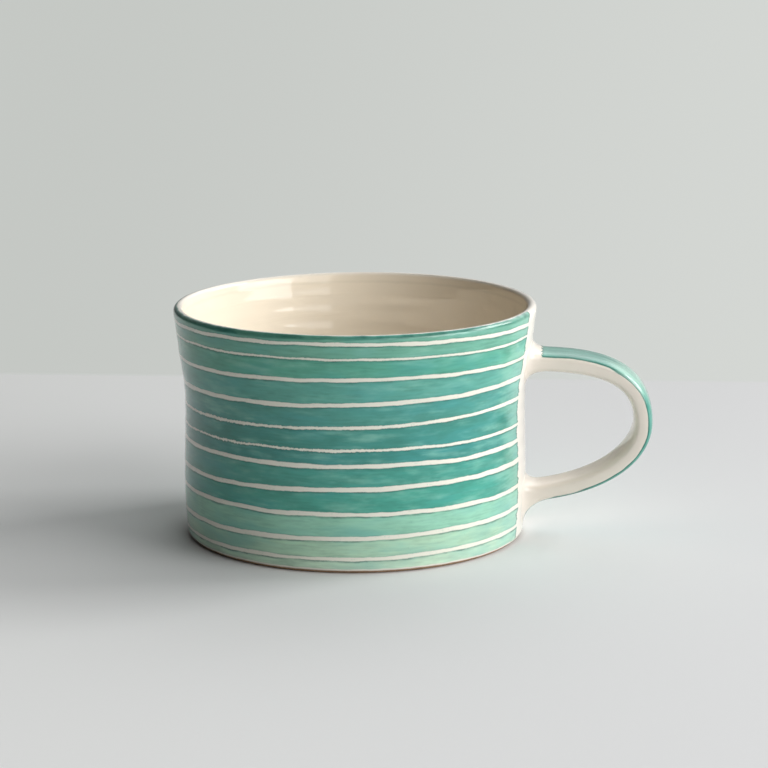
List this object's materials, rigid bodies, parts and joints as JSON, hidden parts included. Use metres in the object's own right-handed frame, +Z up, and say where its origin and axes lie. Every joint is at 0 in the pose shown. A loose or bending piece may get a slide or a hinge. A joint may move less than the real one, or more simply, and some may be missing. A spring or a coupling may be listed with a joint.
{
  "type": "ceramic mug",
  "caption": "Wide, low hand-thrown mug with a slightly flared wall, a thin rounded lip, a flat foot and a pulled strap handle joined on with soft clay.",
  "frame": {"origin": "on the cup's axis, in the plane of the flat foot that the mug stands on", "axes": "+Z up along the cup's axis, +X from the axis towards the handle, +Y across the handle; the XZ plane halves the mug"},
  "size_m": [0.1391, 0.105, 0.068],
  "materials": {
    "painted_glaze": "brushed jade-green washes with thin cream lines outside and plain cream inside, all under a clear gloss glaze, with a bare clay foot",
    "cream_glaze": "cream clay under a clear gloss glaze, with a green brushed stripe along the handle's outer face"
  },
  "bodies": {
    "root": {"cup_body": "painted_glaze", "handle_strap": "cream_glaze", "upper_joint_collar": "cream_glaze", "lower_joint_collar": "cream_glaze"}
  },
  "joints": []
}
